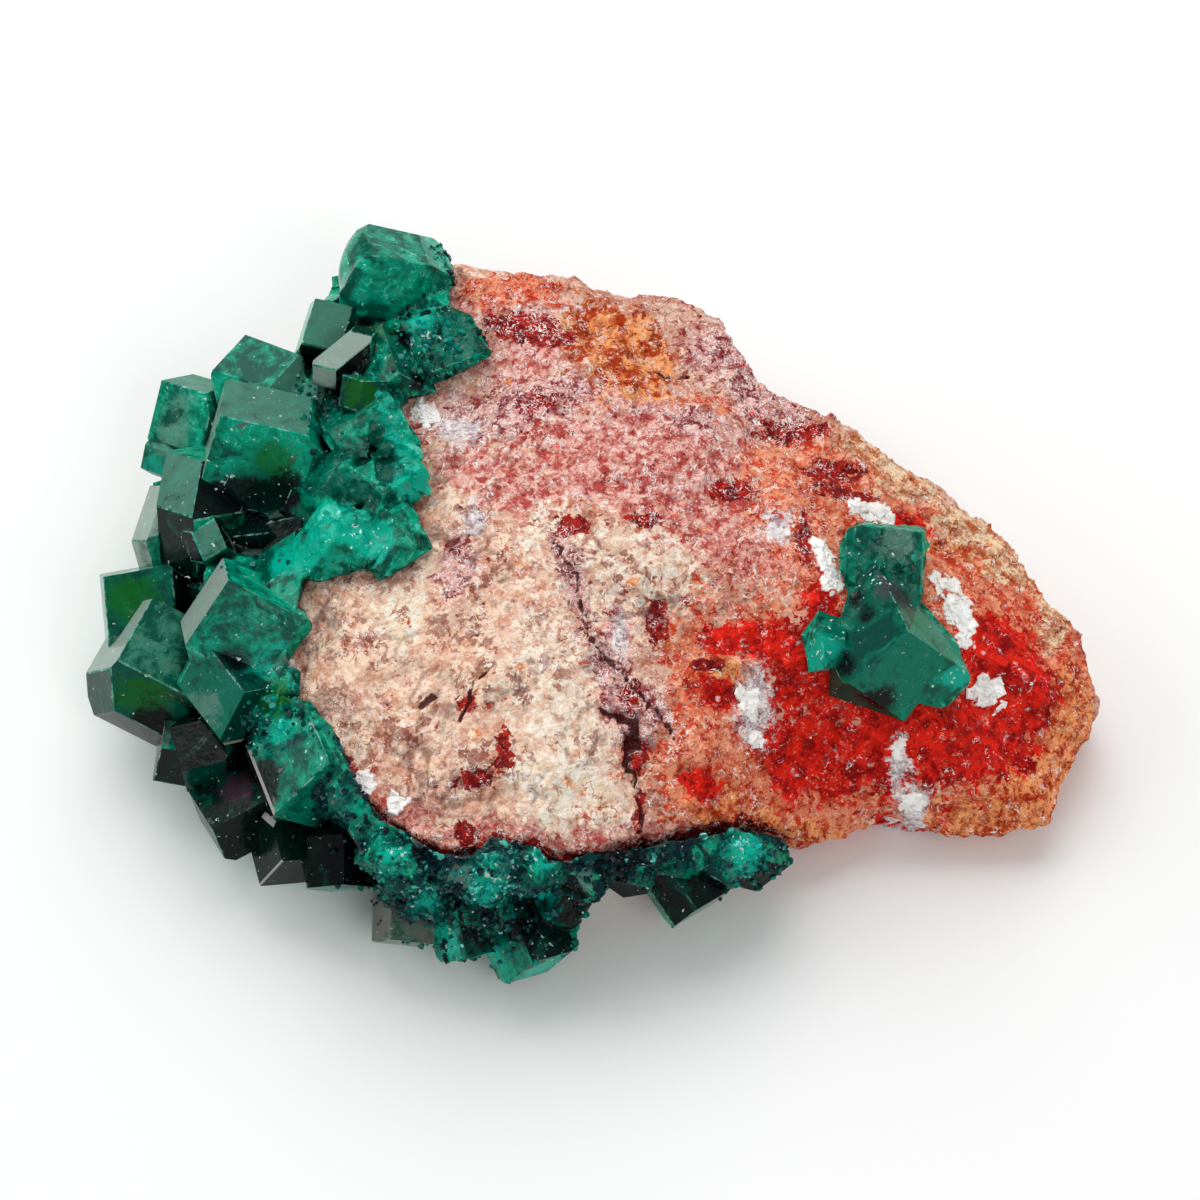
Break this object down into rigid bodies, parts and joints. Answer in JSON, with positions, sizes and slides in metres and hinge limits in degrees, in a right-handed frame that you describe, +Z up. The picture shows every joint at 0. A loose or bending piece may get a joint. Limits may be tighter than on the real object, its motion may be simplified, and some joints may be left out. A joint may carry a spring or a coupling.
{
  "type": "dioptase on matrix",
  "caption": "Mineral specimen: short green dioptase crystals grown over one end and the front wall of a broken piece of pink, orange and red rock that lies on its flat back.",
  "frame": {"origin": "middle of the specimen's box, on the plane of the flat back that it lies on", "axes": "+X along the rock, away from the crystal-covered end; +Y away from the crystal-covered front wall; +Z up, out of the upper face"},
  "size_m": [0.0708, 0.0564, 0.019],
  "materials": {
    "rock": "rough, granular broken rock, pink, orange and deep red, with tiny glints",
    "dioptase": "glassy natural crystal faces, deep emerald green, clear only at thin edges",
    "calcite": "white, fine-grained crust of small sparkling grains"
  },
  "bodies": {
    "root": {"matrix": "rock", "dioptase_cluster": "dioptase", "dioptase_pair": "dioptase"}
  },
  "joints": []
}
